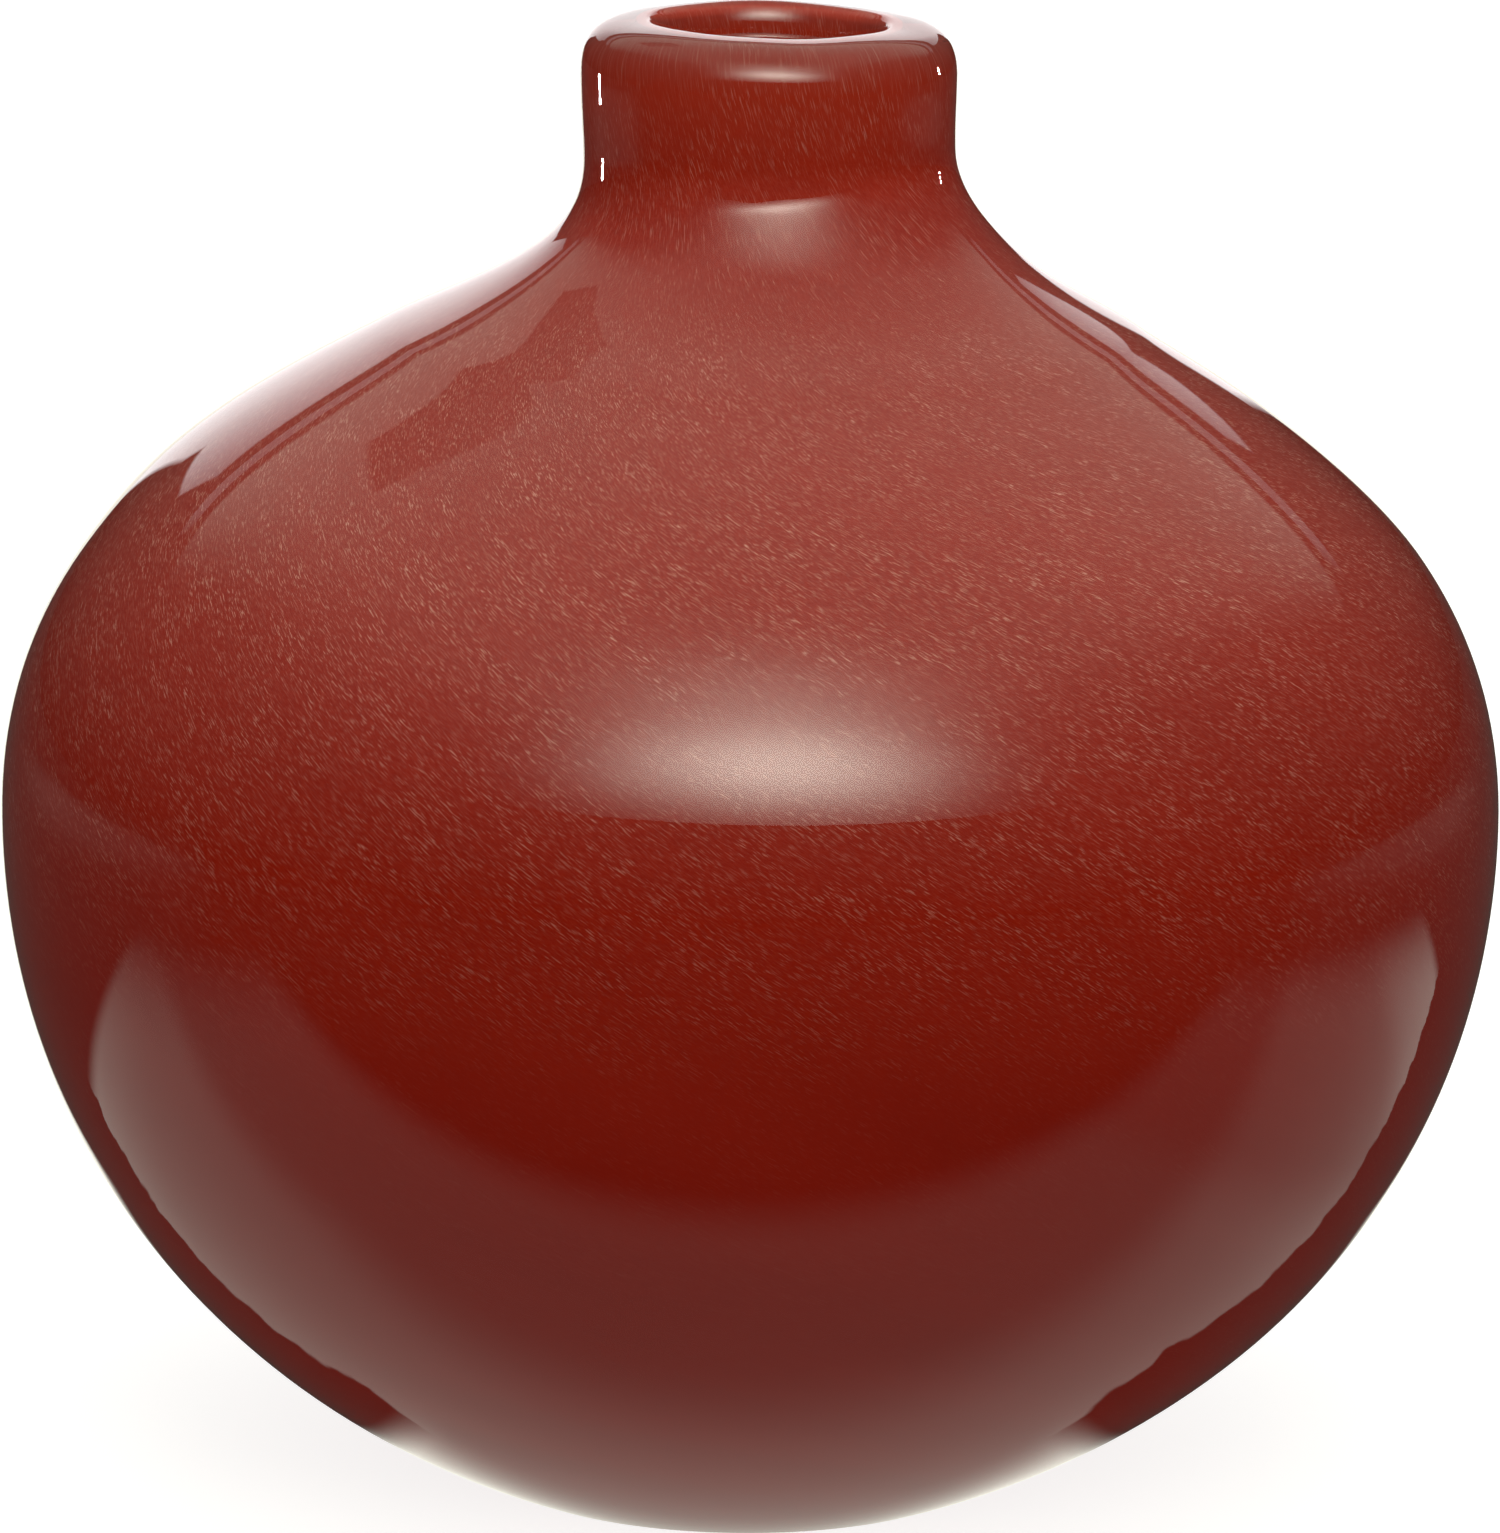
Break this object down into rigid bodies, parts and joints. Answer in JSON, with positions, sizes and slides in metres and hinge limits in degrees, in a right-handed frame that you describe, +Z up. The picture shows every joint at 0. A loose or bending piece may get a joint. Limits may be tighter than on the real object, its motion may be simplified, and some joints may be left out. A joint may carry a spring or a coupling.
{
  "type": "vase",
  "caption": "Squat round-bellied vase of cased glass: opaque red glass between a thin clear lining and a heavy clear casing, with a short straight neck and a thick rounded lip.",
  "frame": {"origin": "the centre of the ground foot, on the surface that the vase stands on", "axes": "+Z is up, along the axis of revolution, and -Y is the side that the picture shows"},
  "size_m": [0.2, 0.2, 0.197],
  "materials": {
    "clear_glass": "clear, fire-polished",
    "red_glass": "opaque brick red with fine pale flecks"
  },
  "bodies": {
    "root": {"outer_casing": "clear_glass", "colour_layer": "red_glass", "inner_gather": "clear_glass"}
  },
  "joints": []
}
